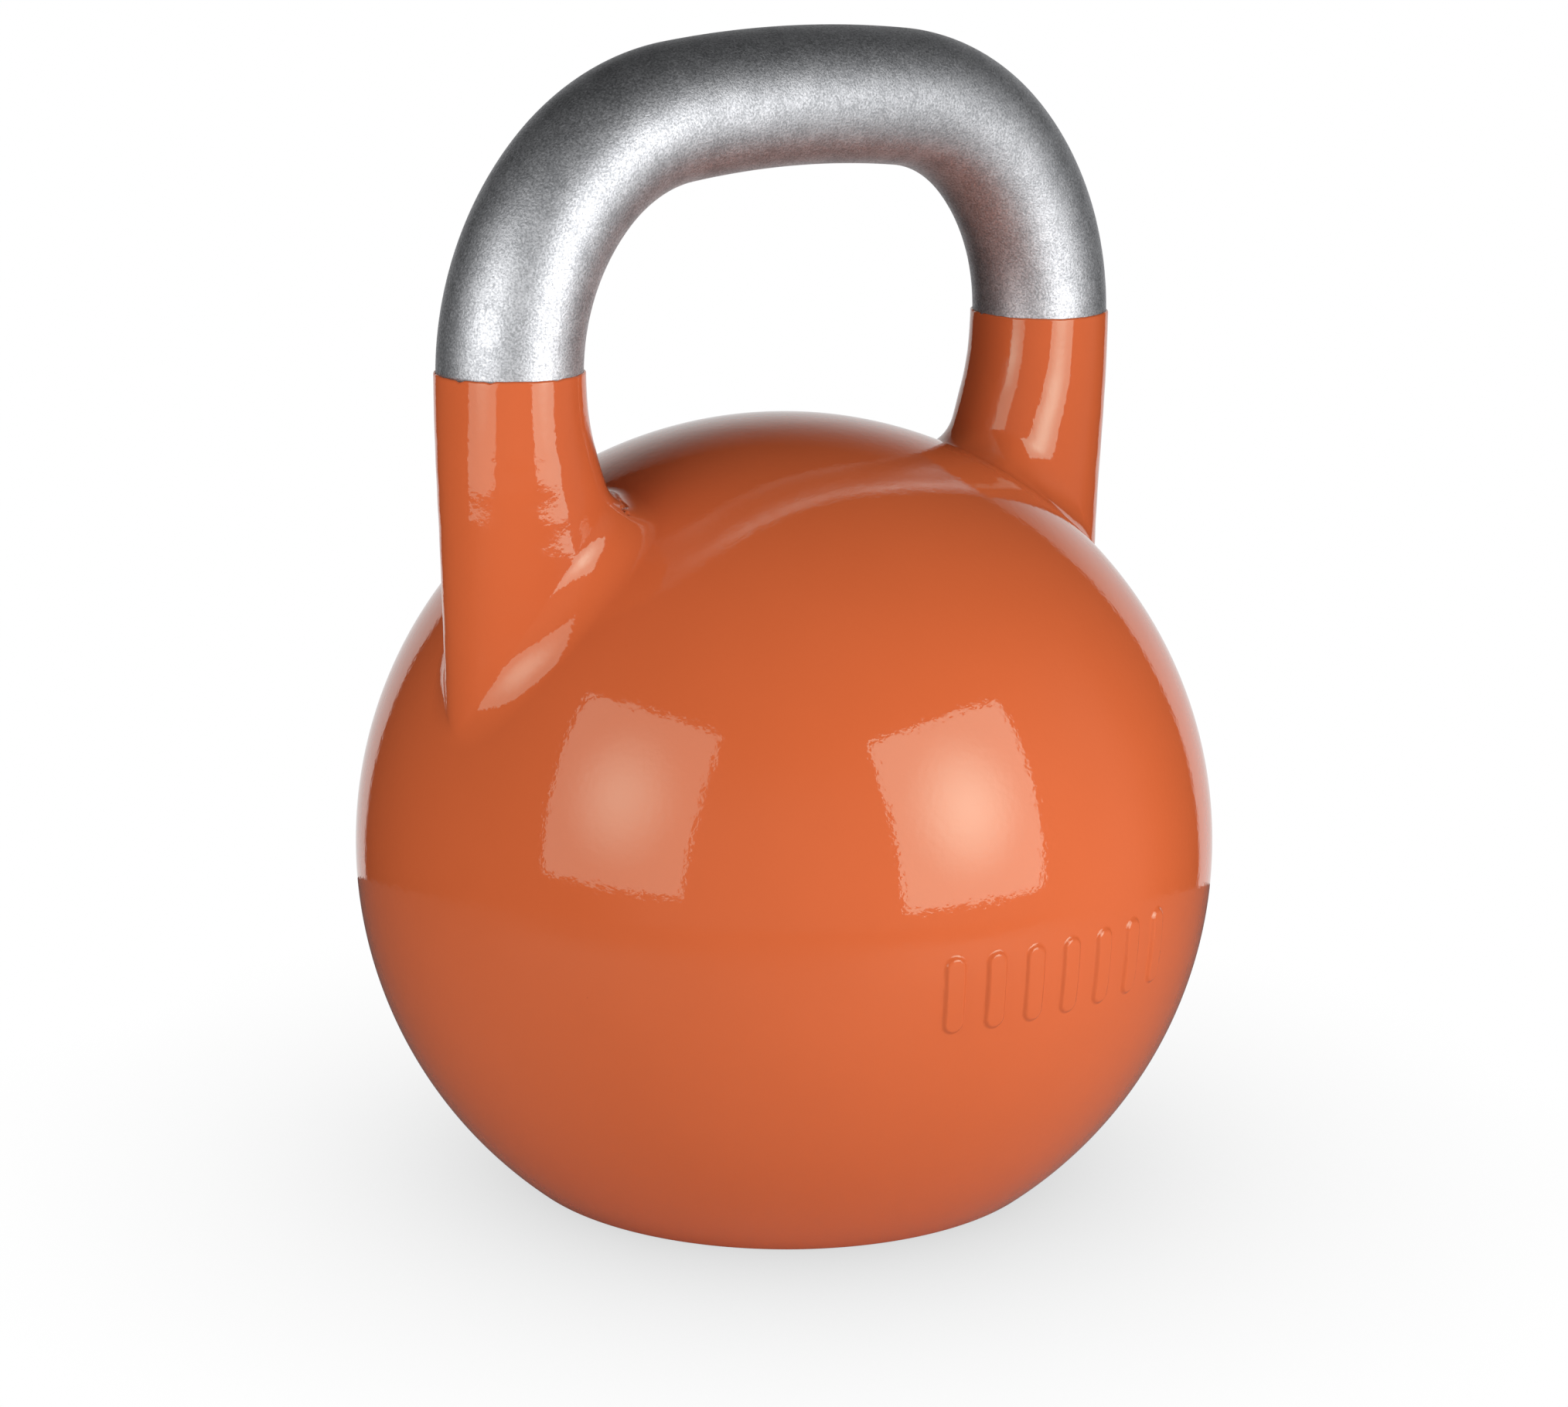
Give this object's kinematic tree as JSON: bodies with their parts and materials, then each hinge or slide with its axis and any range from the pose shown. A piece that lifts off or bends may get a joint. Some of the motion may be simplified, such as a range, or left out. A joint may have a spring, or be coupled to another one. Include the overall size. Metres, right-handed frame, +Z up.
{
  "type": "kettlebell",
  "caption": "Hollow ballasted steel ball with a flat base, two painted horns and a bent bare-steel grip bar, for swinging and pressing by hand.",
  "frame": {"origin": "centre of the flat base, on the surface that the kettlebell stands on", "axes": "+Z up from the base to the grip, +X along the handle from the left horn to the right horn, -Y towards the face with the raised tally bars"},
  "size_m": [0.21, 0.2108, 0.28],
  "materials": {
    "enamel": "high gloss orange enamel with a fine orange-peel ripple",
    "bare_steel": "bare blasted steel, satin, fine even grain",
    "shot_resin": "rough dark iron shot bound in resin",
    "zinc_steel": "turned and zinc plated",
    "black_rubber": "matt black"
  },
  "bodies": {
    "root": {"ball_shell": "enamel", "left_horn": "enamel", "right_horn": "enamel", "left_horn_weld": "enamel", "right_horn_weld": "enamel", "grip_bar": "bare_steel", "ballast_core": "shot_resin", "core_plug": "zinc_steel", "plug_seal": "black_rubber"}
  },
  "joints": []
}
